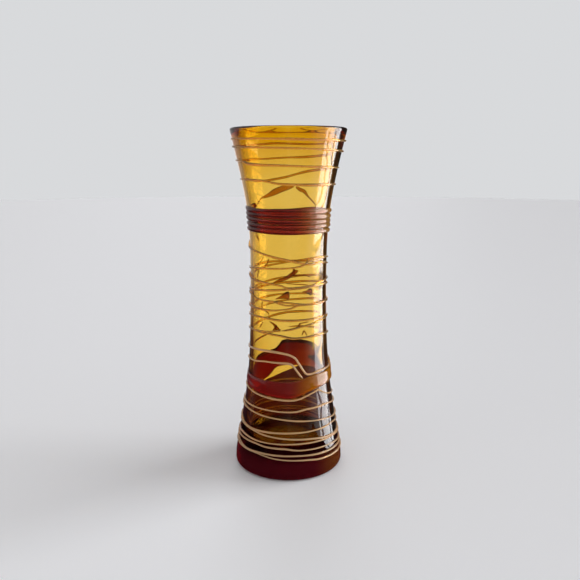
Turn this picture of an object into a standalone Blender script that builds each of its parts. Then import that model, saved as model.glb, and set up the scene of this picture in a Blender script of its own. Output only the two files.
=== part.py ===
"""Hand blown art glass vase: a waisted vessel wound with trails of hot glass.

The vessel is one blown bubble with a fire-polished lip and a thick foot. Threads and
wraps of darker glass were laid on it hot, and each of those is its own object here.
Units are metres and degrees. The origin is the centre of the foot, and +Z is up.
Azimuth 0 is the front of the vase (-Y), and it grows towards the right side (+X).
"""
import math

import bmesh
import bpy
import numpy as np

MM = 0.001

# Driving dimensions of the vessel.
HEIGHT = 300 * MM
LIP_ROUND = 1.9 * MM
LIP_RADIUS = 48.3 * MM
HEEL_ROUND = 4.4 * MM
FLOOR_HEIGHT = 17 * MM
CHAMBER_FOOT = 34 * MM
REST_RING_INNER = 35 * MM
KICK_UP = 3.0 * MM
VESSEL_STEPS = 60

# Outer side of the vessel: (height, radius) from the heel up to the lip.
SIDE = [
    (4.4, 48.6), (12, 48.2), (28, 45.3), (48, 42.0), (75, 38.1), (100, 35.6), (133, 34.0),
    (175, 33.4), (205, 33.8), (225, 35.2), (240, 37.1), (262, 41.4), (282, 46.0), (298.1, 50.2),
]

# Thickness of the blown wall, heavy at the foot: (height, thickness).
WALLS = [(34, 6.5), (75, 4), (120, 3), (285, 3), (298.1, 3.8)]

# Touching pieces keep this gap, and a trail is a chain of chords this many degrees long.
GAP = 0.3 * MM
CHORD = 15
TRAIL_SIDES = 6

THREAD_WIDTH = 2.0 * MM
THREAD_THICK = 1.5 * MM
COLLAR_WIDTH = 3.9 * MM
COLLAR_THICK = 1.8 * MM
COLLAR_TOP = 233.2
COLLAR_PITCH = 4.25
COLLAR_START = -120
COLLAR_TURNS = 4.85
RIBBON_THICK = 1.3 * MM
RIBBON_STEPS = 48
RIBBON_ROWS = 3

# Routes of the threads, a turn to a list: (azimuth in degrees from -180 to 180, height in millimetres).
RIM_TURNS = [
    [(-85, 290.5), (0, 289.5), (70, 289), (120, 288)],
    [(-170, 287), (-95, 285), (-25, 283), (25, 282), (95, 280), (150, 278)],
    [(-95, 274), (-45, 270.5), (30, 268), (95, 266.5), (150, 265)],
    [(-170, 258.5), (-135, 256), (-35, 257), (-10, 255), (30, 253.5), (90, 253), (176, 250)],
    [(-156, 243), (-128, 237.5)],
]
TAIL_TURNS = [
    [(136, 237), (148, 240.5), (158, 245), (168, 247)],
]
NECK_TURNS = [
    [(-85, 200), (-50, 197), (-5, 192), (30, 188), (85, 185), (180, 183)],
    [(-90, 181), (-55, 182), (20, 184), (60, 183.5), (85, 181.5), (180, 178)],
    [(-80, 174.5), (-25, 171), (5, 168), (35, 169), (85, 171.5), (180, 168)],
    [(-100, 162), (-45, 163.5), (20, 165), (85, 165), (180, 162)],
    [(-90, 159), (-50, 157), (-5, 155), (35, 153.5), (85, 153), (180, 151)],
    [(-75, 148), (-35, 148), (20, 149.5), (50, 149), (85, 147.5), (180, 144)],
    [(-90, 140), (-50, 141), (-5, 140), (40, 140.5), (85, 138.5), (180, 133)],
    [(-95, 127), (-60, 128), (-15, 127), (10, 124.5), (60, 124), (85, 123), (180, 117.5)],
]
HOOK_TURNS = [
    [
        (-170, 115.5), (-95, 110.5), (-50, 112), (-25, 112.5), (-4, 111), (5, 109),
        (9, 107.4), (14, 103), (23, 94.5), (28, 92.5), (35, 92.5), (50, 93), (80, 92.5),
    ],
]
RETURN_TURNS = [
    [(-95, 100.5), (-55, 101.5), (-15, 103), (1, 102), (8, 98.5), (16, 91.5), (20, 89.5)],
]
SKIRT_TURNS = [
    [
        (-92, 75), (-50, 73.5), (-30, 72), (0, 70.5), (15, 72), (35, 74.5), (44, 74.5), (60, 70.5),
        (90, 66), (180, 63),
    ],
    [(-75, 61), (-30, 61), (5, 60.5), (25, 62), (50, 62), (90, 58.5), (180, 58)],
    [(-80, 57), (-25, 55), (30, 51), (75, 47.5), (180, 46)],
    [(-80, 44), (-45, 42), (5, 42.5), (60, 43), (90, 41), (180, 40.5)],
    [(-90, 40), (-45, 39), (5, 37), (45, 35), (90, 34), (180, 33.5)],
    [(-90, 32.5), (-15, 33), (40, 31.5), (90, 30), (180, 29.5)],
    [(-90, 29), (-40, 29.5), (10, 27.5), (70, 25)],
    [(-175, 24), (-80, 23.5), (-30, 23), (40, 21.5), (120, 20.5)],
    [(-80, 19.5), (-40, 19.5), (20, 18), (75, 16.5), (110, 16.5)],
]

# Edges of the ribbon round the foot of the neck: (azimuth, height).
RIBBON_TOP = [
    (0, 86.5), (20, 88.5), (40, 91), (80, 90.5), (100, 98), (120, 104), (145, 105.5), (175, 105.5),
    (189, 104.5), (195, 100.5), (202, 97), (212, 96), (225, 95.5), (240, 94.5), (250, 92.5), (262, 89),
    (300, 86.5),
]
RIBBON_BOTTOM = [
    (0, 72), (30, 77), (60, 79), (120, 79.5), (165, 78.5), (192, 77.4), (202, 75.5), (208, 71.5),
    (215, 68), (228, 66), (240, 68), (256, 75.5), (275, 77), (290, 76), (310, 75), (330, 73.7),
]

CLEAR_AMBER = (0.86, 0.56, 0.12)
DARK_AMBER = (0.42, 0.13, 0.03)
GOLD_THREAD = (0.62, 0.34, 0.08)


def smooth_through(keys, places):
    """Heights at the given places on the smooth curve through the keys, with no overshoot."""
    at = np.array([key[0] for key in keys], float)
    value = np.array([key[1] for key in keys], float)
    step = np.diff(at)
    slope = np.diff(value) / step
    tangent = np.empty_like(value)
    tangent[0], tangent[-1] = slope[0], slope[-1]
    same_way = slope[:-1] * slope[1:] > 0
    middle = (value[2:] - value[:-2]) / (at[2:] - at[:-2])
    steepest = 3 * np.minimum(abs(slope[:-1]), abs(slope[1:]))
    tangent[1:-1] = np.where(same_way, np.clip(middle, -steepest, steepest), 0)
    place = np.clip(np.asarray(places, float), at[0], at[-1])
    cell = np.clip(np.searchsorted(at, place, side="right") - 1, 0, len(step) - 1)
    t = (place - at[cell]) / step[cell]
    rise = step[cell]
    start = (2 * t**3 - 3 * t**2 + 1) * value[cell] + (t**3 - 2 * t**2 + t) * rise * tangent[cell]
    end = (3 * t**2 - 2 * t**3) * value[cell + 1] + (t**3 - t**2) * rise * tangent[cell + 1]
    return start + end


def side_radius(height):
    """Outer radius of the vessel at a height, both in metres."""
    return float(smooth_through(SIDE, height / MM)) * MM


def wall_thickness(height):
    """Thickness of the vessel's wall at a height, both in metres."""
    return float(smooth_through(WALLS, height / MM)) * MM


def glass_material(name, colour):
    material = bpy.data.materials.new(name)
    material.use_nodes = True
    shader = material.node_tree.nodes["Principled BSDF"]
    shader.inputs["Base Color"].default_value = (*colour, 1)
    shader.inputs["Roughness"].default_value = 0.05
    shader.inputs["Metallic"].default_value = 0
    shader.inputs["IOR"].default_value = 1.5
    shader.inputs["Transmission Weight"].default_value = 0.6
    material.diffuse_color = (*colour, 1)
    return material


def new_collection(name):
    collection = bpy.data.collections.new(name)
    bpy.context.scene.collection.children.link(collection)
    return collection


def add_object(name, data, collection, material=None):
    thing = bpy.data.objects.new(name, data)
    collection.objects.link(thing)
    if material:
        data.materials.append(material)
    return thing


def vessel_profile():
    """Half section of the vessel, from the chamber floor up the inside, over the lip and down to the foot."""
    lip_height = HEIGHT - LIP_ROUND
    chamber = side_radius(CHAMBER_FOOT) - wall_thickness(CHAMBER_FOOT)
    points = []
    for turn in np.linspace(90, 12, 7):
        across = math.cos(math.radians(turn)) ** (2 / 3)
        down = math.sin(math.radians(turn)) ** (2 / 3)
        points.append((chamber * across, CHAMBER_FOOT - (CHAMBER_FOOT - FLOOR_HEIGHT) * down))
    for height in np.linspace(CHAMBER_FOOT, lip_height, 15):
        points.append((side_radius(height) - wall_thickness(height), float(height)))
    for turn in (150, 120, 90, 60, 30):
        angle = math.radians(turn)
        points.append((LIP_RADIUS + LIP_ROUND * math.cos(angle), lip_height + LIP_ROUND * math.sin(angle)))
    for height in np.linspace(lip_height, HEEL_ROUND, 18):
        points.append((side_radius(height), float(height)))
    heel_radius = side_radius(HEEL_ROUND) - HEEL_ROUND
    for turn in (-30, -60, -90):
        angle = math.radians(turn)
        points.append((heel_radius + HEEL_ROUND * math.cos(angle), HEEL_ROUND + HEEL_ROUND * math.sin(angle)))
    for share in (0, 0.3, 0.65, 1):
        points.append((REST_RING_INNER * (1 - share), KICK_UP * math.sin(share * math.pi / 2)))
    return points


def turned(name, profile, steps, collection, material):
    """A solid turned about +Z from an open profile whose ends lie on the axis."""
    mesh = bpy.data.meshes.new(name)
    shape = bmesh.new()
    corners = [shape.verts.new((radius, 0, height)) for radius, height in profile]
    for first, second in zip(corners, corners[1:]):
        shape.edges.new((first, second))
    shape.to_mesh(mesh)
    shape.free()
    thing = add_object(name, mesh, collection, material)
    screw = thing.modifiers.new("turn", "SCREW")
    screw.axis = "Z"
    screw.steps = steps
    screw.render_steps = steps
    screw.use_merge_vertices = True
    screw.merge_threshold = 0.00001
    screw.use_smooth_shade = True
    return thing


def trail_section(name, width, thick, collection):
    """Oval section of a trail: width runs up the wall, and thick stands out from it."""
    curve = bpy.data.curves.new(name, "CURVE")
    curve.dimensions = "2D"
    spline = curve.splines.new("POLY")
    spline.points.add(TRAIL_SIDES - 1)
    for side, point in enumerate(spline.points):
        angle = -2 * math.pi * (side + 0.5) / TRAIL_SIDES
        point.co = (thick / 2 * math.cos(angle), width / 2 * math.sin(angle), 0, 1)
    spline.use_cyclic_u = True
    guide = add_object(name, curve, collection)
    guide.hide_render = True
    guide.display_type = "WIRE"
    return guide


def trail(name, azimuths, heights, thick, section, collection, material):
    """A thread of glass wound on the vessel through the given azimuths (degrees) and heights (mm)."""
    chord_slack = 1 / math.cos(math.radians(CHORD / 2))
    curve = bpy.data.curves.new(name, "CURVE")
    curve.dimensions = "3D"
    curve.twist_mode = "Z_UP"
    curve.bevel_mode = "OBJECT"
    curve.bevel_object = section
    curve.use_fill_caps = True
    curve.render_resolution_u = 0
    spline = curve.splines.new("POLY")
    spline.points.add(len(azimuths) - 1)
    for point, azimuth, height in zip(spline.points, azimuths, heights):
        turn = math.radians(azimuth)
        radius = side_radius(height * MM) * chord_slack + GAP + thick / 2
        point.co = (radius * math.sin(turn), -radius * math.cos(turn), height * MM, 1)
    spline.use_smooth = True
    return add_object(name, curve, collection, material)


def thread(name, turns, section, collection, material):
    """A thin trail that follows hand-laid turns, one after the other."""
    keys = []
    for turn, stretch in enumerate(turns):
        keys += [(azimuth + 360 * turn, height) for azimuth, height in stretch]
    chords = max(4, round((keys[-1][0] - keys[0][0]) / CHORD))
    azimuths = np.linspace(keys[0][0], keys[-1][0], chords + 1)
    return trail(name, azimuths, smooth_through(keys, azimuths), THREAD_THICK, section, collection, material)


def collar(section, collection, material):
    """The thick trail wound in close turns round the top of the neck."""
    azimuths = COLLAR_START + np.arange(0, COLLAR_TURNS * 360 + 1, CHORD)
    heights = COLLAR_TOP - COLLAR_PITCH * (azimuths - COLLAR_START) / 360
    return trail("collar_wrap", azimuths, heights, COLLAR_THICK, section, collection, material)


def ribbon(collection, material):
    """The wide flat wrap round the foot of the neck, taller at the back."""
    def edge_height(keys, azimuth):
        around = [(at + lap, height) for lap in (-360, 0, 360) for at, height in keys]
        return float(smooth_through(around, azimuth % 360))

    mesh = bpy.data.meshes.new("ribbon_wrap")
    shape = bmesh.new()
    bmesh.ops.create_cone(shape, cap_ends=False, segments=RIBBON_STEPS, radius1=1, radius2=1, depth=1)
    uprights = [edge for edge in shape.edges if abs(edge.verts[0].co.z - edge.verts[1].co.z) > 0.5]
    bmesh.ops.subdivide_edges(shape, edges=uprights, cuts=RIBBON_ROWS - 1, use_grid_fill=True)
    slack = 1 / math.cos(math.pi / RIBBON_STEPS)
    for vertex in shape.verts:
        azimuth = math.degrees(math.atan2(vertex.co.x, -vertex.co.y))
        low = edge_height(RIBBON_BOTTOM, azimuth)
        high = edge_height(RIBBON_TOP, azimuth)
        height = (low + (high - low) * (vertex.co.z + 0.5)) * MM
        radius = side_radius(height) * slack + GAP
        turn = math.radians(azimuth)
        vertex.co = (radius * math.sin(turn), -radius * math.cos(turn), height)
    shape.to_mesh(mesh)
    shape.free()
    mesh.shade_smooth()
    thing = add_object("ribbon_wrap", mesh, collection, material)
    thicken = thing.modifiers.new("thickness", "SOLIDIFY")
    thicken.thickness = RIBBON_THICK
    thicken.offset = 1
    return thing


def build():
    for thing in list(bpy.data.objects):
        bpy.data.objects.remove(thing, do_unlink=True)
    vase = new_collection("blown_glass_vase")
    guides = new_collection("guides")
    clear = glass_material("vessel_glass", CLEAR_AMBER)
    dark = glass_material("wrap_glass", DARK_AMBER)
    gold = glass_material("thread_glass", GOLD_THREAD)
    thread_section = trail_section("thread_section", THREAD_WIDTH, THREAD_THICK, guides)
    collar_section = trail_section("collar_section", COLLAR_WIDTH, COLLAR_THICK, guides)

    turned("vessel_body", vessel_profile(), VESSEL_STEPS, vase, clear)
    thread("rim_trail", RIM_TURNS, thread_section, vase, gold)
    thread("collar_tail", TAIL_TURNS, thread_section, vase, dark)
    collar(collar_section, vase, dark)
    thread("neck_trail", NECK_TURNS, thread_section, vase, gold)
    thread("hook_trail", HOOK_TURNS, thread_section, vase, gold)
    thread("hook_return", RETURN_TURNS, thread_section, vase, gold)
    ribbon(vase, dark)
    thread("skirt_trail", SKIRT_TURNS, thread_section, vase, gold)


build()
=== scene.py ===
"""Looks of the hand blown art glass vase: the blown vessel and the trails of glass laid on it."""
import math

import bmesh
import bpy
import numpy as np
from mathutils import Euler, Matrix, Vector


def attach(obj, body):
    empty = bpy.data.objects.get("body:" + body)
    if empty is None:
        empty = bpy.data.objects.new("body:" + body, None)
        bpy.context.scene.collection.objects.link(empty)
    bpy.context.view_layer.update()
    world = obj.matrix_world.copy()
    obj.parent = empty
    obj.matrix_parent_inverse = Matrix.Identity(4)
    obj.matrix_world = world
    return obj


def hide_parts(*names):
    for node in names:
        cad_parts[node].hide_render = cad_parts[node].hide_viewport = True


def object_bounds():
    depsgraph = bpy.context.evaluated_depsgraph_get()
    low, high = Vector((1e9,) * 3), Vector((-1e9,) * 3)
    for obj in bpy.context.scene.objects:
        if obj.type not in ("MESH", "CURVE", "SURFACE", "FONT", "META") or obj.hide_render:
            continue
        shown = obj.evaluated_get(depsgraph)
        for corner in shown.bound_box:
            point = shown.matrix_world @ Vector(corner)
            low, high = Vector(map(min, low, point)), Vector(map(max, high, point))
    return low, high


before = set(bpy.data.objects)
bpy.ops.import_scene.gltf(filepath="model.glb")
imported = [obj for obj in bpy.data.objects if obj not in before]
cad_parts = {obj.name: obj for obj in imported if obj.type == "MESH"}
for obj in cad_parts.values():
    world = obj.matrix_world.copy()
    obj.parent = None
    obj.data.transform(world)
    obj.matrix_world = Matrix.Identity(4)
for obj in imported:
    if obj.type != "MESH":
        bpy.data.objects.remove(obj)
cad_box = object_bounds()

MM = 0.001
LOW, HIGH = (Vector(corner) for corner in cad_box)
HEIGHT = HIGH.z - LOW.z

# The vessel's outer side: (height, radius) in millimetres.
SIDE = [
    (4.4, 48.6), (12, 48.2), (28, 45.3), (48, 42.0), (75, 38.1), (100, 35.6), (133, 34.0),
    (175, 33.4), (205, 33.8), (225, 35.2), (240, 37.1), (262, 41.4), (282, 46.0), (298.1, 50.0),
]
# Thickness of the blown wall, heaviest at the foot and below the lip: (height, thickness) in millimetres.
WALLS = [
    (34, 6.5), (60, 4.6), (90, 3.6), (120, 3.2), (250, 3.2), (268, 3.8), (282, 4.5), (290, 5.1), (295, 5.5),
    (298.1, 4.2),
]
LIP_ROUND = 2.1
HEEL_ROUND = 4.4
REST_RING_INNER = 35
KICK_UP = 3.0
FLOOR_HEIGHT = 17
CHAMBER_FOOT = 34
VESSEL_STEPS = 288

# Stretches of the vessel's outline. The rounded ones are true turned forms.
INSIDE, OUTSIDE, ROUND = range(3)

# The laid glass stands this far off the wall, in millimetres. Its strands take steps of this many degrees.
TRAIL_GAP = 0.05
SWEEP_STEP = 2.5

# Where the glass changes colour along the vessel's height, in metres.
LIP_SPAN = ("Z", HEIGHT - 0.014, HEIGHT - 0.007)
FOOT_SPAN = ("Z", 0.032, 0.021)
CLOUD_SPAN = ("Z", 0.026, 0.012)

# The camera: millimetres of sensor and lens, metres to the right, vase heights away and up, degrees down.
SENSOR_WIDTH = 36
FOCAL_LENGTH = 40.97
EYE_ASIDE = 0.0014
EYE_AWAY = 1.9158
EYE_UP = 0.9242
TILT_DOWN = 11.56

# Light that the room sends to the vase, as (red, green, blue). The camera sees only the backdrop.
WALL_LIGHT = (1.10, 1.10, 1.15)
ROOM_LIGHT = (0.75, 0.73, 0.72)
ROOM_IN_MIRROR = (0.10, 0.09, 0.08)
LEFT_LIGHT = (0.52, 0.50, 0.50)
LOW_IN_MIRROR = (0.10, 0.03, 0.035)
CEILING_LIGHT = (0.36, 0.35, 0.35)
DOORWAY_LIGHT = (0.06, 0.04, 0.03)
WINDOW_LIGHT = (7.0, 7.0, 7.1)
BACKDROP = (0.69, 0.70, 0.715)

FLOOR_PAINT = (0.96, 0.98, 1.0)
TABLE_PAINT = (0.10, 0.024, 0.032)


def smooth_through(keys, places):
    """Values at the given places on the smooth curve through the keys, with no overshoot."""
    at = np.array([key[0] for key in keys], float)
    value = np.array([key[1] for key in keys], float)
    step = np.diff(at)
    slope = np.diff(value) / step
    tangent = np.empty_like(value)
    tangent[0], tangent[-1] = slope[0], slope[-1]
    same_way = slope[:-1] * slope[1:] > 0
    middle = (value[2:] - value[:-2]) / (at[2:] - at[:-2])
    steepest = 3 * np.minimum(abs(slope[:-1]), abs(slope[1:]))
    tangent[1:-1] = np.where(same_way, np.clip(middle, -steepest, steepest), 0)
    place = np.clip(np.asarray(places, float), at[0], at[-1])
    cell = np.clip(np.searchsorted(at, place, side="right") - 1, 0, len(step) - 1)
    t = (place - at[cell]) / step[cell]
    start = (2 * t**3 - 3 * t**2 + 1) * value[cell] + (t**3 - 2 * t**2 + t) * step[cell] * tangent[cell]
    end = (3 * t**2 - 2 * t**3) * value[cell + 1] + (t**3 - t**2) * step[cell] * tangent[cell + 1]
    return start + end


def hand_wander(azimuth, height):
    """How far in millimetres the wall strays from a true turned form, less near the lip and the heel."""
    turn = np.radians(azimuth)
    oval = 0.16 * np.cos(2 * turn + 0.7 + height / 90)
    ripple = 0.07 * np.sin(3 * turn + height / 23) + 0.05 * np.sin(5 * turn - height / 31 + 1.3)
    fade = np.clip((HEIGHT / MM - 6 - height) / 20, 0, 1) * np.clip((height - 6) / 20, 0, 1)
    return (oval + ripple) * fade


def inner_wander(azimuth, height):
    """How much further the inside of the wall strays, which the breath leaves less even."""
    turn = np.radians(azimuth)
    oval = 0.10 * np.sin(2 * turn + height / 40)
    return oval + 0.08 * np.sin(7 * turn + height / 17) * np.sin(height / 26)


def side_radius(azimuth, height):
    """Outer radius of the vessel in millimetres."""
    return smooth_through(SIDE, height) + hand_wander(azimuth, height)


def wall_point(azimuth, height, proud=0.0):
    """Points on the vessel's outer side in metres, standing proud of it by so many millimetres."""
    azimuth, height = np.asarray(azimuth, float), np.asarray(height, float)
    lean = smooth_through(SIDE, height + 0.5) - smooth_through(SIDE, height - 0.5)
    level = 1 / np.sqrt(1 + lean**2)
    radius = side_radius(azimuth, height) + proud * level
    turn = np.radians(azimuth)
    level_point = [radius * np.sin(turn), -radius * np.cos(turn), height - proud * lean * level]
    return np.stack(level_point, axis=-1) * MM


def add_piece(name, mesh, slot, *nodes):
    """Adds a piece that stands for the given CAD nodes."""
    piece = bpy.data.objects.new(name, mesh)
    bpy.context.scene.collection.objects.link(piece)
    mesh.shade_smooth()
    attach(piece, "root")
    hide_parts(*nodes)
    return piece


def vessel_profile():
    """Rows of (height, radius, stretch) from the chamber floor over the lip to the underside of the foot."""
    rows = []
    chamber = float(smooth_through(SIDE, CHAMBER_FOOT)) - float(smooth_through(WALLS, CHAMBER_FOOT))
    for turn in np.linspace(90, 6, 22)[1:]:
        across = math.cos(math.radians(turn)) ** (2 / 3)
        down = math.sin(math.radians(turn)) ** (2 / 3)
        rows.append((CHAMBER_FOOT - (CHAMBER_FOOT - FLOOR_HEIGHT) * down, chamber * across, INSIDE))
    lip_height = HEIGHT / MM - LIP_ROUND
    for height in np.linspace(CHAMBER_FOOT, lip_height, 90):
        radius = smooth_through(SIDE, height) - smooth_through(WALLS, height)
        rows.append((float(height), float(radius), INSIDE))
    lip_radius = float(smooth_through(SIDE, lip_height)) - LIP_ROUND
    for turn in np.linspace(172, 8, 14):
        angle = math.radians(turn)
        out, above = LIP_ROUND * math.cos(angle), LIP_ROUND * math.sin(angle)
        rows.append((lip_height + above, lip_radius + out, ROUND))
    for height in np.linspace(lip_height, HEEL_ROUND, 150):
        rows.append((float(height), float(smooth_through(SIDE, height)), OUTSIDE))
    heel_radius = float(smooth_through(SIDE, HEEL_ROUND)) - HEEL_ROUND
    for turn in np.linspace(-10, -90, 9):
        angle = math.radians(turn)
        out, above = HEEL_ROUND * math.cos(angle), HEEL_ROUND * math.sin(angle)
        rows.append((HEEL_ROUND + above, heel_radius + out, ROUND))
    for share in np.linspace(0, 0.94, 12):
        rows.append((KICK_UP * (1 - math.cos(share * math.pi)) / 2, REST_RING_INNER * (1 - share), ROUND))
    return rows


def vessel():
    """The blown vessel as one closed skin, closed on the axis at the chamber floor and under the foot."""
    azimuths = np.arange(VESSEL_STEPS) * 360 / VESSEL_STEPS
    turn = np.radians(azimuths)
    shape = bmesh.new()
    rings = []
    for height, radius, stretch in vessel_profile():
        at = np.full(VESSEL_STEPS, radius)
        if stretch == OUTSIDE:
            at = at + hand_wander(azimuths, height)
        if stretch == INSIDE:
            at = at + hand_wander(azimuths, height) + inner_wander(azimuths, height) * min(1, radius / 30)
        places = [(r * math.sin(a) * MM, -r * math.cos(a) * MM, height * MM) for r, a in zip(at, turn)]
        rings.append([shape.verts.new(place) for place in places])
    for lower, upper in zip(rings, rings[1:]):
        for i in range(VESSEL_STEPS):
            j = (i + 1) % VESSEL_STEPS
            shape.faces.new((lower[i], upper[i], upper[j], lower[j]))
    for ring, height in ((rings[0], FLOOR_HEIGHT), (rings[-1], KICK_UP)):
        pole = shape.verts.new((0, 0, height * MM))
        for i in range(VESSEL_STEPS):
            shape.faces.new((ring[i], ring[(i + 1) % VESSEL_STEPS], pole))
    bmesh.ops.recalc_face_normals(shape, faces=shape.faces)
    mesh = bpy.data.meshes.new("vessel")
    shape.to_mesh(mesh)
    shape.free()
    return add_piece("vessel", mesh, "vessel_glass", "vessel_body")


def sweep(shape, azimuths, heights, widths, thicks, sides=12, fullness=0.8):
    """Lays one domed strand of glass along a route on the wall, closed at both ends."""
    azimuths, heights = np.asarray(azimuths, float), np.asarray(heights, float)
    radius = side_radius(azimuths, heights)
    along = np.gradient(np.radians(azimuths)) * radius
    rise = np.gradient(heights)
    length = np.sqrt(along**2 + rise**2)
    across_turn = -rise / length
    across_up = along / length
    dome = np.linspace(0, math.pi, sides - 2)
    offsets = [(math.cos(a), math.sin(a) ** fullness) for a in dome] + [(-0.45, 0.0), (0.45, 0.0)]
    rings = []
    for u, v in offsets:
        shift = u * widths / 2
        turned = azimuths + np.degrees(shift * across_turn / radius)
        places = wall_point(turned, heights + shift * across_up, TRAIL_GAP + v * thicks)
        rings.append([shape.verts.new(place) for place in places])
    count = len(rings)
    last = len(azimuths) - 1
    for k in range(count):
        near, far = rings[k], rings[(k + 1) % count]
        for i in range(last):
            shape.faces.new((near[i], near[i + 1], far[i + 1], far[i]))
    shape.faces.new([ring[0] for ring in rings])
    shape.faces.new([ring[last] for ring in reversed(rings)])


def full_route(turns):
    """One long route from its turns, each a list of (azimuth from -180 to 180, height)."""
    return [(azimuth + 360 * turn, height) for turn, keys in enumerate(turns) for azimuth, height in keys]


def strand(shape, turns, width, thick, seed, taper=(6, 6)):
    """A hand-laid thread, swelling and thinning as it was drawn out."""
    keys = full_route(turns)
    first, last = keys[0][0], keys[-1][0]
    azimuths = np.linspace(first, last, max(8, round((last - first) / SWEEP_STEP)))
    heights = smooth_through(keys, azimuths)
    turn = np.radians(azimuths)
    swell = 1 + 0.13 * np.sin(turn * 1.7 + seed) + 0.08 * np.sin(turn * 4.3 + 2 * seed)
    swell += 0.05 * np.sin(turn * 9.1 + 3 * seed)
    ends = np.minimum((azimuths - first) / taper[0], (last - azimuths) / taper[1])
    rounding = np.sqrt(np.clip(1 - (1 - np.clip(ends, 0, 1)) ** 2, 0.0025, 1))
    sweep(shape, azimuths, heights, width * swell * rounding, thick * swell * rounding)


def smear(shape, keys):
    """A pulled dab of glass through (azimuth, height, width, thickness), which may turn any way."""
    places = np.linspace(0, len(keys) - 1, 8 * len(keys))
    columns = [[(i, key[c]) for i, key in enumerate(keys)] for c in range(4)]
    azimuths, heights, widths, thicks = (smooth_through(column, places) for column in columns)
    ends = np.clip(np.minimum(places, places[-1] - places) / 0.35, 0, 1)
    rounding = np.sqrt(np.clip(1 - (1 - ends) ** 2, 0.02, 1))
    sweep(shape, azimuths, heights, widths * rounding, thicks * rounding)


def piece_from(shape, name, slot, *nodes):
    """Turns finished mesh work into a piece."""
    bmesh.ops.recalc_face_normals(shape, faces=shape.faces)
    mesh = bpy.data.meshes.new(name)
    shape.to_mesh(mesh)
    shape.free()
    return add_piece(name, mesh, slot, *nodes)


def glass(name, clear, absorb, milky=0.0, rough=0.02, wave=0.0015, scale=60, shifts=()):
    """Glass whose body takes (red, green, blue) light away per metre, with a slightly uneven skin.

    Each shift is (colour, spans): the skin turns to the colour along all its spans of (axis, start, end).
    """
    material = bpy.data.materials.new(name)
    material.use_nodes = True
    tree = material.node_tree
    shader = tree.nodes["Principled BSDF"]
    output = tree.nodes["Material Output"]
    shader.inputs["Transmission Weight"].default_value = 1 - milky
    shader.inputs["IOR"].default_value = 1.5
    coordinates = tree.nodes.new("ShaderNodeTexCoord")

    streaks = tree.nodes.new("ShaderNodeTexNoise")
    streaks.inputs["Scale"].default_value = scale
    streaks.inputs["Detail"].default_value = 3
    stretch = tree.nodes.new("ShaderNodeMapping")
    stretch.inputs["Scale"].default_value = (1, 1, 0.25)
    tree.links.new(coordinates.outputs["Object"], stretch.inputs["Vector"])
    tree.links.new(stretch.outputs["Vector"], streaks.inputs["Vector"])

    tint = tree.nodes.new("ShaderNodeMix")
    tint.data_type = "RGBA"
    tint.inputs["A"].default_value = (*clear, 1)
    tint.inputs["B"].default_value = (*[c**1.3 for c in clear], 1)
    tree.links.new(streaks.outputs["Fac"], tint.inputs["Factor"])
    skin = tint.outputs["Result"]
    for colour, spans in shifts:
        skin = blend_over(tree, skin, colour, share_along(tree, coordinates, spans))
    tree.links.new(skin, shader.inputs["Base Color"])

    polish = tree.nodes.new("ShaderNodeMapRange")
    polish.inputs["To Min"].default_value = 0.0
    polish.inputs["To Max"].default_value = rough
    tree.links.new(streaks.outputs["Fac"], polish.inputs["Value"])
    tree.links.new(polish.outputs["Result"], shader.inputs["Roughness"])

    waves = tree.nodes.new("ShaderNodeTexNoise")
    waves.inputs["Scale"].default_value = scale * 0.6
    waves.inputs["Detail"].default_value = 2
    tree.links.new(coordinates.outputs["Object"], waves.inputs["Vector"])
    bump = tree.nodes.new("ShaderNodeBump")
    bump.inputs["Strength"].default_value = 0.06
    bump.inputs["Distance"].default_value = wave
    tree.links.new(waves.outputs["Fac"], bump.inputs["Height"])
    tree.links.new(bump.outputs["Normal"], shader.inputs["Normal"])

    volume = tree.nodes.new("ShaderNodeVolumeAbsorption")
    strength = max(absorb)
    volume.inputs["Color"].default_value = (*[1 - a / strength for a in absorb], 1)
    volume.inputs["Density"].default_value = strength
    tree.links.new(volume.outputs["Volume"], output.inputs["Volume"])
    return material


def share_along(tree, coordinates, spans):
    """0 to 1 from start to end along each axis of the object, which may run down as well as up."""
    place = tree.nodes.new("ShaderNodeSeparateXYZ")
    tree.links.new(coordinates.outputs["Object"], place.inputs["Vector"])
    shares = []
    for axis, start, end in spans:
        share = tree.nodes.new("ShaderNodeMapRange")
        share.interpolation_type = "SMOOTHSTEP"
        share.inputs["From Min"].default_value = min(start, end)
        share.inputs["From Max"].default_value = max(start, end)
        share.inputs["To Min"].default_value = float(start > end)
        share.inputs["To Max"].default_value = float(end > start)
        tree.links.new(place.outputs[axis], share.inputs["Value"])
        shares.append(share.outputs["Result"])
    result = shares[0]
    for share in shares[1:]:
        result = both_of(tree, result, share)
    return result


def cloudier(material, low, high, spans):
    """Lets the glass turn from the low to the high share of cloudiness along the spans."""
    tree = material.node_tree
    coordinates = tree.nodes.new("ShaderNodeTexCoord")
    share = share_along(tree, coordinates, spans)
    clearness = tree.nodes.new("ShaderNodeMapRange")
    clearness.inputs["To Min"].default_value = 1 - low
    clearness.inputs["To Max"].default_value = 1 - high
    tree.links.new(share, clearness.inputs["Value"])
    tree.links.new(clearness.outputs["Result"], tree.nodes["Principled BSDF"].inputs["Transmission Weight"])


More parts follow.
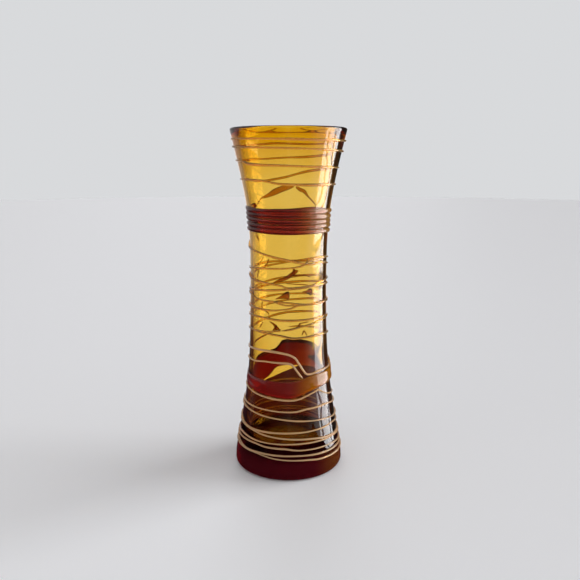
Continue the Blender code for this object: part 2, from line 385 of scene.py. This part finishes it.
# Routes of the threads, a turn to a list: (azimuth in degrees from the front, height in millimetres).
RIM_TURNS = [
    [(-85, 290.5), (-35, 290), (0, 289.5), (30, 289), (70, 289), (120, 289.5)],
    [(-170, 291), (-140, 289.5), (-95, 285), (-25, 283), (25, 282), (95, 280), (150, 278)],
    [(-140, 275.5), (-95, 273), (-65, 273), (-45, 270), (-5, 269), (30, 268), (95, 266.5), (148, 265)],
    [
        (-172, 258.5), (-135, 255), (-95, 257.5), (-35, 257), (-10, 254.5), (30, 253.5), (90, 253),
        (145, 251.5), (170, 250),
    ],
]
NECK_TURNS = [
    [(-100, 206), (-86, 200), (-50, 197), (-5, 192), (35, 187.5), (55, 188), (85, 185), (180, 181)],
    [
        (-90, 181), (-55, 183), (-10, 184.5), (12, 185.5), (24, 187.5), (33, 191.5), (45, 192),
        (85, 190.5), (180, 180),
    ],
    [(-80, 174.5), (-65, 173), (-12, 170), (0, 168), (35, 169), (60, 171), (85, 172), (180, 166)],
    [(-100, 162), (-45, 164.5), (-10, 166.5), (20, 168), (55, 168.5), (85, 167), (180, 161)],
    [(-90, 159), (-65, 158.5), (-50, 156.5), (-5, 155.5), (35, 153), (85, 153), (180, 150)],
    [(-75, 148), (-35, 148), (0, 150), (18, 153), (60, 153), (90, 151), (180, 144)],
    [(-90, 139.5), (-60, 141), (-40, 141), (-5, 140), (20, 140), (60, 140), (85, 138.5), (180, 132)],
    [(-95, 126.5), (-60, 128), (-15, 127), (10, 124.5), (40, 125), (85, 123), (180, 117.5)],
]
HOOK_TURNS = [
    [
        (-170, 115.5), (-95, 109.5), (-50, 112), (-25, 112.5), (-4, 111), (5, 109), (9, 107.4),
        (11.5, 105.6), (14, 103), (22, 94.8), (24.5, 92.8), (28, 91.9), (35, 92), (45, 93), (90, 92),
        (110, 92.5),
    ],
]
RETURN_TURNS = [
    [
        (-95, 100), (-55, 101), (-30, 103), (-10, 103), (0, 102.6), (4, 101.8), (7, 100.2), (9, 98.4),
        (20, 88.5),
    ],
]
SKIRT_TURNS = [
    [
        (-92, 76), (-75, 75), (-30, 72), (5, 70.5), (32, 75), (44, 76.5), (51, 73.5), (60, 70.5),
        (70, 68.5), (90, 66), (180, 63),
    ],
    [(-75, 61), (-30, 61), (5, 60.5), (25, 62), (50, 62), (90, 58), (180, 58)],
    [(-80, 57.5), (-25, 55), (0, 53.5), (55, 49), (75, 47), (180, 46)],
    [(-80, 44.5), (-65, 42.5), (-45, 41.5), (5, 42.5), (45, 42.5), (60, 43), (90, 40.5), (180, 40.5)],
    [(-90, 41.5), (-45, 40.5), (-30, 39), (25, 36), (45, 34), (75, 32.5), (90, 33), (180, 32.5)],
    [(-90, 32), (-65, 33.5), (-35, 32.5), (5, 33), (60, 31.5), (90, 30), (180, 29.5)],
    [(-90, 29), (-40, 30), (-25, 29), (-5, 29), (10, 27.5), (50, 26), (90, 23.5)],
    [(-175, 24.5), (-80, 25), (-50, 22.5), (-30, 23), (0, 23), (40, 21.5), (60, 21), (120, 20.5)],
    [(-80, 22), (-40, 22), (-15, 20), (20, 18.5), (35, 17), (75, 16), (110, 17)],
]
SIDE_TURNS = [
    [[(-10, 131), (3, 132), (17, 134), (33, 135.5), (52, 137), (84, 138)]],
    [[(-60, 128.5), (-32, 129.5), (-10, 131)]],
    [[(-22, 156.5), (-14, 154.5), (-1, 153), (10, 153), (16, 154)]],
    [[(62, 170.5), (74, 167.5), (88, 168.5)]],
]

# Dabs and pulled ends on the far wall: (azimuth, height, width, thickness) along each of them.
SMEARS = [
    [
        (209, 160.5, 0.7, 0.5), (196, 162.5, 2.6, 1.1), (184, 164.5, 3.4, 1.3), (175, 168, 3.6, 1.4),
        (169, 170.5, 3.8, 1.2), (164, 172, 1.2, 0.6),
    ],
    [(173, 175, 0.7, 0.5), (171, 171.5, 2.6, 1.0), (174, 167, 1.8, 0.8)],
    [(173, 167, 1.8, 0.9), (155, 168, 1.1, 0.7), (139, 167, 0.8, 0.5)],
    [(184, 159.5, 0.8, 0.5), (161, 159, 0.9, 0.6), (143, 159, 0.8, 0.5)],
    [(203, 145, 0.6, 0.5), (192, 146.5, 3.2, 1.1), (182, 148, 7.6, 1.5), (178, 148, 8.0, 1.2)],
    [(156, 152, 0.6, 0.5), (148, 152.5, 2.6, 1.0), (140, 153, 6.8, 1.4), (136, 152.5, 6.0, 1.0)],
    [(215, 124.5, 0.8, 0.5), (205, 121, 2.2, 1.0), (199, 117, 3.6, 1.4), (192, 113, 1.2, 0.6)],
    [(211, 112.5, 1.2, 0.5), (203, 116, 3.2, 1.3), (199, 120, 1.6, 0.8)],
    [(191, 113.5, 1.0, 0.6), (175, 115, 1.4, 0.8), (165, 117, 2.0, 1.0), (160, 122, 1.8, 0.9)],
    [(162, 121, 1.0, 0.6), (142, 124.5, 1.1, 0.6)],
    [(158, 109.5, 0.9, 0.5), (153, 114, 1.6, 0.8), (147, 110, 0.9, 0.5)],
    [(227, 187, 0.9, 0.6), (235, 183, 1.4, 0.8), (243, 180, 0.9, 0.6)],
    [(215, 184, 1.2, 0.7), (224, 177, 2.2, 1.0)],
    [(241, 175.5, 1.2, 0.7), (246, 168.5, 1.6, 0.8)],
    [(234, 163, 1.2, 0.7), (234, 156.5, 1.4, 0.8)],
    [
        (231, 145, 1.0, 0.6), (234, 141, 1.4, 0.8), (229, 137, 1.2, 0.7), (219, 134, 1.4, 0.8),
        (215, 131, 1.0, 0.6),
    ],
    [(230, 126, 1.2, 0.7), (239, 121, 1.6, 0.8)],
    [(253, 210, 1.0, 0.6), (246, 205, 1.8, 0.9), (240, 201.5, 1.0, 0.6)],
]

# The collar: height of its start in millimetres, its drop in a turn, its turns and the azimuth of its start.
COLLAR_TOP = 233.2
COLLAR_PITCH = 4.25
COLLAR_TURNS = 4.9
COLLAR_START = -122

# Upper and lower edge of the wide wrap round one turn: (azimuth, height).
RIBBON_TOP = [
    (0, 86.5), (20, 88.5), (40, 91), (80, 90.5), (100, 98), (120, 104), (145, 105.5), (175, 105.5),
    (189, 104.5), (195, 100.5), (202, 97), (212, 96), (225, 95.5), (240, 94.5), (250, 92.5), (262, 89),
    (300, 86.5),
]
RIBBON_BOTTOM = [
    (0, 72), (30, 77), (60, 79), (120, 79.5), (165, 78.5), (192, 77.4), (202, 75.5), (208, 71.5),
    (215, 68), (228, 66), (240, 68), (256, 75.5), (275, 77), (290, 76), (310, 75), (330, 73.7),
]

# The pulled ends that reach the collar down the far wall: (azimuth, height, width, thickness).
COLLAR_LEAF = [
    (172, 250, 2.0, 0.4), (184, 248.5, 6.0, 0.6), (198, 245, 6.0, 0.65), (212, 241, 3.4, 0.6),
    (224, 239, 1.6, 0.6), (232, 236, 1.4, 0.6), (240, 231.5, 1.3, 0.6),
]
COLLAR_STALK = [
    (170, 249, 2.4, 0.5), (162, 246, 3.6, 0.6), (156, 244.5, 3.4, 0.6), (148, 239.5, 1.6, 0.6),
    (131, 232, 1.3, 0.6),
]


def rim_thread():
    """The thread round the flared mouth."""
    shape = bmesh.new()
    strand(shape, RIM_TURNS, width=2.0, thick=1.3, seed=0.3, taper=(10, 14))
    return piece_from(shape, "rim_thread", "thread_glass", "rim_trail")


def neck_thread():
    """The long neck thread, with the short ends that branch from it."""
    shape = bmesh.new()
    strand(shape, NECK_TURNS, width=1.9, thick=1.3, seed=1.1, taper=(20, 20))
    for seed, turns in enumerate(SIDE_TURNS):
        strand(shape, turns, width=1.4, thick=1.0, seed=seed)
    return piece_from(shape, "neck_thread", "thread_glass", "neck_trail")


def neck_smears():
    """Dabs of thicker glass where the neck thread folded on the far side."""
    shape = bmesh.new()
    for keys in SMEARS:
        smear(shape, keys)
    return piece_from(shape, "neck_smears", "thread_glass", "neck_trail")


def hook_threads():
    """The thread that steps down on the front, and the lower one that follows it on to the ribbon."""
    upper = bmesh.new()
    strand(upper, HOOK_TURNS, width=1.8, thick=1.4, seed=2.0, taper=(30, 16))
    lower = bmesh.new()
    strand(lower, RETURN_TURNS, width=1.6, thick=1.2, seed=0.7, taper=(24, 3))
    return [
        piece_from(upper, "hook_thread", "thread_glass", "hook_trail"),
        piece_from(lower, "hook_return_thread", "thread_glass", "hook_return"),
    ]


def skirt_thread():
    """The thread that winds down the flared foot."""
    shape = bmesh.new()
    strand(shape, SKIRT_TURNS, width=1.45, thick=1.15, seed=1.7, taper=(20, 20))
    return piece_from(shape, "skirt_thread", "thread_glass", "skirt_trail")


def collar():
    """Five close turns of thick dark glass, each pressed against the last, the first one thin behind."""
    azimuths = COLLAR_START + np.arange(0, COLLAR_TURNS * 360, SWEEP_STEP)
    turn = np.radians(azimuths)
    heights = COLLAR_TOP - COLLAR_PITCH * (azimuths - COLLAR_START) / 360
    heights += 0.35 * np.sin(turn * 1.3) + 0.25 * np.sin(turn * 2.9 + 1)
    widths = 4.45 + 0.35 * np.sin(turn * 0.8 + 2) + 0.2 * np.sin(turn * 3.1)
    thicks = 1.45 + 0.20 * np.sin(turn * 1.9 + 1) + 0.12 * np.sin(turn * 5.3)
    first_behind = np.exp(-(((azimuths - 180) / 60) ** 2))
    heights -= 1.0 * first_behind
    widths -= 2.2 * first_behind
    ends = np.clip(np.minimum(azimuths - azimuths[0], azimuths[-1] - azimuths) / 9, 0, 1)
    rounding = np.sqrt(np.clip(1 - (1 - ends) ** 2, 0.01, 1))
    shape = bmesh.new()
    sweep(shape, azimuths, heights, widths * rounding, thicks * rounding, sides=18, fullness=1.2)
    return piece_from(shape, "collar", "wrap_glass", "collar_wrap")


def collar_swoop():
    """The leaf and the stalk on the far wall that run down to the collar."""
    shape = bmesh.new()
    smear(shape, COLLAR_LEAF)
    smear(shape, COLLAR_STALK)
    return piece_from(shape, "collar_swoop", "wrap_glass", "collar_tail")


def three_rounds(keys):
    """The same keys over three rounds, so that the middle round runs on smoothly at both ends."""
    return [(azimuth + 360 * turn, height) for turn in (-1, 0, 1) for azimuth, height in keys]


def ribbon():
    """The wide flat wrap, a closed band with softly rounded edges."""
    azimuths = np.arange(0, 360, SWEEP_STEP / 2)
    turn = np.radians(azimuths)
    low = smooth_through(three_rounds(RIBBON_BOTTOM), azimuths)
    high = smooth_through(three_rounds(RIBBON_TOP), azimuths)
    rows = 16
    section = []
    for k in range(rows + 1):
        share = 0.5 - 0.5 * math.cos(math.pi * k / rows)
        section.append((share, min(1.0, (1 - (2 * share - 1) ** 4)) ** 0.6))
    section += [(0.85, 0.0), (0.5, 0.0), (0.15, 0.0)]
    shape = bmesh.new()
    rings = []
    for share, proud in section:
        thick = 1.35 + 0.7 * np.sin(turn) + 0.12 * np.sin(2 * turn + 0.7)
        thick += 0.12 * np.sin(5 * turn + 7 * share)
        thick += 0.9 * np.clip(-np.cos(turn), 0, 1) * np.clip((share - 0.5) / 0.2, 0, 1)
        places = wall_point(azimuths, low + (high - low) * share, TRAIL_GAP + proud * thick)
        rings.append([shape.verts.new(place) for place in places])
    count, steps = len(rings), len(azimuths)
    for k in range(count):
        near, far = rings[k], rings[(k + 1) % count]
        for i in range(steps):
            j = (i + 1) % steps
            shape.faces.new((near[i], near[j], far[j], far[i]))
    return piece_from(shape, "ribbon", "wrap_glass", "ribbon_wrap")


def thread_glass(name, clear, absorb, milky):
    """Glass of the thin threads and dabs, with finer streaks than the vessel's."""
    return glass(name, clear, absorb, milky=milky, wave=0.0008, scale=150)


def wrap_glass(name, clear, absorb, milky, shift):
    """Glass of the collar and the ribbon, with painted window light that makes it lighter towards one side.
    """
    return glass(name, clear, absorb, milky=milky, scale=110, shifts=[shift])


def build_vase():
    """Builds every piece and gives each its glass."""
    lip = ((0.98, 0.92, 0.22), [LIP_SPAN])
    foot = ((0.55, 0.03, 0.055), [FOOT_SPAN])
    # Painted window light: the foot's colour turns orange towards +X, as if the window's light shone through
    # it, and it shows so from every side.
    foot_painted_window_light = ((1.0, 0.28, 0.05), [FOOT_SPAN, ("X", 0.022, 0.044)])
    # Painted window light: the ribbon turns bright orange towards +X, as if the window's light shone through
    # it, and it shows so from every side.
    ribbon_painted_window_light = ((1.0, 0.38, 0.015), [("X", 0.000, 0.028)])
    # Painted window light: the collar turns amber towards +X, as if the window's light shone through it, and
    # it shows so from every side.
    collar_painted_window_light = ((1.0, 0.52, 0.12), [("X", 0.000, 0.032)])
    body = glass("vessel_glass_look", (0.995, 0.98, 0.93), (46, 112, 390), shifts=[lip, foot, foot_painted_window_light])
    cloudier(body, 0.0, 0.09, [CLOUD_SPAN])
    gold = thread_glass("gold_thread_look", (1.0, 0.80, 0.34), (130, 340, 1100), 0.13)
    cream = thread_glass("cream_thread_look", (1.0, 0.74, 0.44), (60, 260, 800), 0.42)
    brown = thread_glass("brown_smear_look", (0.72, 0.46, 0.11), (380, 850, 1800), 0.06)
    coil = wrap_glass("collar_glass_look", (0.50, 0.13, 0.10), (420, 1400, 2200), 0.0, collar_painted_window_light)
    # Painted window light: the collar also turns cloudier towards +X, so that its right side glows lighter.
    cloudier(coil, 0.10, 0.24, [("X", 0.004, 0.030)])
    dark = wrap_glass("ribbon_glass_look", (0.58, 0.045, 0.035), (420, 900, 950), 0.26, ribbon_painted_window_light)
    looks = [
        (body, [vessel()]),
        (gold, [rim_thread(), neck_thread()]),
        (cream, [*hook_threads(), skirt_thread()]),
        (brown, [neck_smears(), collar_swoop()]),
        (coil, [collar()]),
        (dark, [ribbon()]),
    ]
    for look, pieces in looks:
        for piece in pieces:
            piece.data.materials.append(look)


def camera():
    """A phone held a little below the rim's height, tilted down to take in the foot."""
    lens = bpy.data.cameras.new("camera")
    lens.sensor_width = SENSOR_WIDTH
    lens.lens = FOCAL_LENGTH
    lens.clip_start = 0.01
    eye = bpy.data.objects.new("camera", lens)
    eye.location = (EYE_ASIDE, -EYE_AWAY * HEIGHT, EYE_UP * HEIGHT)
    eye.rotation_euler = (math.radians(90 - TILT_DOWN), 0, 0)
    bpy.context.scene.collection.objects.link(eye)
    bpy.context.scene.camera = eye


def band(tree, value, low, high, soft):
    """1 where value lies between low and high, falling to 0 over soft on both sides."""
    rise = tree.nodes.new("ShaderNodeMapRange")
    rise.interpolation_type = "SMOOTHSTEP"
    rise.inputs["From Min"].default_value = low - soft
    rise.inputs["From Max"].default_value = low + soft
    fall = tree.nodes.new("ShaderNodeMapRange")
    fall.interpolation_type = "SMOOTHSTEP"
    fall.inputs["From Min"].default_value = high - soft
    fall.inputs["From Max"].default_value = high + soft
    fall.inputs["To Min"].default_value = 1
    fall.inputs["To Max"].default_value = 0
    tree.links.new(value, rise.inputs["Value"])
    tree.links.new(value, fall.inputs["Value"])
    return both_of(tree, rise.outputs["Result"], fall.outputs["Result"])


def blend_over(tree, under, colour, amount):
    """The colour laid over the one under it by an amount from 0 to 1."""
    mix = tree.nodes.new("ShaderNodeMix")
    mix.data_type = "RGBA"
    mix.clamp_factor = True
    tree.links.new(amount, mix.inputs["Factor"])
    tree.links.new(under, mix.inputs["A"])
    mix.inputs["B"].default_value = (*colour, 1)
    return mix.outputs["Result"]


def both_of(tree, first, second):
    """The product of two shares."""
    product = tree.nodes.new("ShaderNodeMath")
    product.operation = "MULTIPLY"
    tree.links.new(first, product.inputs[0])
    tree.links.new(second, product.inputs[1])
    return product.outputs["Value"]


def studio():
    """A pale room round the vase, with a bright wall behind it and a tall window to its right.

    Angles round the vase are in radians, 0 straight behind it and growing to the right. The room in front of
    it is dark, and its low left side is dark red, only where they are mirrored.
    """
    world = bpy.data.worlds.new("studio")
    bpy.context.scene.world = world
    world.use_nodes = True
    tree = world.node_tree
    background = tree.nodes["Background"]
    coordinates = tree.nodes.new("ShaderNodeTexCoord")
    direction = tree.nodes.new("ShaderNodeSeparateXYZ")
    tree.links.new(coordinates.outputs["Generated"], direction.inputs["Vector"])
    compass = tree.nodes.new("ShaderNodeMath")
    compass.operation = "ARCTAN2"
    tree.links.new(direction.outputs["X"], compass.inputs[0])
    tree.links.new(direction.outputs["Y"], compass.inputs[1])
    around, up = compass.outputs["Value"], direction.outputs["Z"]

    wall = tree.nodes.new("ShaderNodeRGB")
    wall.outputs["Color"].default_value = (*WALL_LIGHT, 1)
    sky = wall.outputs["Color"]
    path = tree.nodes.new("ShaderNodeLightPath")
    mirrored = tree.nodes.new("ShaderNodeMath")
    mirrored.operation = "MINIMUM"
    mirrored.inputs[1].default_value = 1
    tree.links.new(path.outputs["Glossy Depth"], mirrored.inputs[0])
    for low, high in ((2.1, 3.3), (-3.3, -1.9)):
        room = band(tree, around, low, high, 0.35)
        sky = blend_over(tree, sky, ROOM_LIGHT, room)
        sky = blend_over(tree, sky, ROOM_IN_MIRROR, both_of(tree, room, mirrored.outputs["Value"]))
    left = band(tree, around, -1.9, -0.35, 0.18)
    sky = blend_over(tree, sky, LEFT_LIGHT, left)
    low_left = both_of(tree, left, band(tree, up, -2, -0.20, 0.05))
    low_near = both_of(tree, band(tree, around, -2.8, -1.3, 0.25), band(tree, up, -2, -0.04, 0.03))
    for area in (low_left, low_near):
        sky = blend_over(tree, sky, LOW_IN_MIRROR, both_of(tree, area, mirrored.outputs["Value"]))
    overhead = band(tree, up, 0.75, 2.0, 0.2)
    sky = blend_over(tree, sky, CEILING_LIGHT, overhead)
    doorway = band(tree, around, 0.23, 0.93, 0.025)
    sky = blend_over(tree, sky, DOORWAY_LIGHT, doorway)
    window = both_of(tree, band(tree, around, 0.97, 1.72, 0.03), band(tree, up, -0.6, 0.55, 0.05))
    bars = tree.nodes.new("ShaderNodeMath")
    bars.operation = "PINGPONG"
    bars.inputs[1].default_value = 0.03
    tree.links.new(up, bars.inputs[0])
    window = both_of(tree, window, band(tree, bars.outputs["Value"], 0.006, 1, 0.003))
    sky = blend_over(tree, sky, WINDOW_LIGHT, window)

    seen = tree.nodes.new("ShaderNodeMix")
    seen.data_type = "RGBA"
    tree.links.new(path.outputs["Is Camera Ray"], seen.inputs["Factor"])
    tree.links.new(sky, seen.inputs["A"])
    seen.inputs["B"].default_value = (*BACKDROP, 1)
    tree.links.new(seen.outputs["Result"], background.inputs["Color"])


def painted(obj, colour, rough, sheen=0.5):
    """Gives a piece of the stage a plain paint."""
    paint = bpy.data.materials.new(obj.name + "_paint")
    paint.use_nodes = True
    shader = paint.node_tree.nodes["Principled BSDF"]
    shader.inputs["Base Color"].default_value = (*colour, 1)
    shader.inputs["Roughness"].default_value = rough
    shader.inputs["Specular IOR Level"].default_value = sheen
    obj.data.materials.append(paint)


def floor():
    """A wide plain pale floor, and a dark table top under the vase that only its glass sees."""
    bpy.ops.mesh.primitive_circle_add(vertices=96, radius=4, fill_type="NGON", location=(0, 0, -0.0001))
    ground = bpy.context.object
    ground.name = "floor"
    ground.visible_glossy = False
    ground.visible_transmission = False
    painted(ground, FLOOR_PAINT, 0.6)

    # The mirrored top reaches less far, which leaves the window's gleam on the skirt.
    table_top("dark_table", 0.34, mirrored=False)
    table_top("dark_table_mirrored", 0.11, mirrored=True)


def table_top(name, corner, mirrored):
    """A dark table top turned 45 degrees, whose left edge ends at a corner so many metres past the vase.

    The glass sees a mirrored top only in its reflections and the other one only through itself.
    """
    turn = math.radians(45)
    edge, depth, length = 0.17, 0.55, 0.46 + corner
    middle = Vector((-(edge - depth / 2), corner - length / 2, 0))
    middle.rotate(Euler((0, 0, -turn)))
    bpy.ops.mesh.primitive_plane_add(size=1, location=(middle.x, middle.y, -0.0003), rotation=(0, 0, -turn))
    table = bpy.context.object
    table.name = name
    table.scale = (depth, length, 1)
    table.visible_camera = False
    table.visible_diffuse = False
    table.visible_shadow = False
    table.visible_glossy = mirrored
    table.visible_transmission = not mirrored
    painted(table, TABLE_PAINT, 0.4, sheen=0)


bpy.context.scene.view_settings.view_transform = "Standard"
bpy.context.scene.cycles.max_bounces = 24
bpy.context.scene.cycles.transmission_bounces = 24
bpy.context.scene.cycles.glossy_bounces = 8
camera()
studio()
floor()
build_vase()
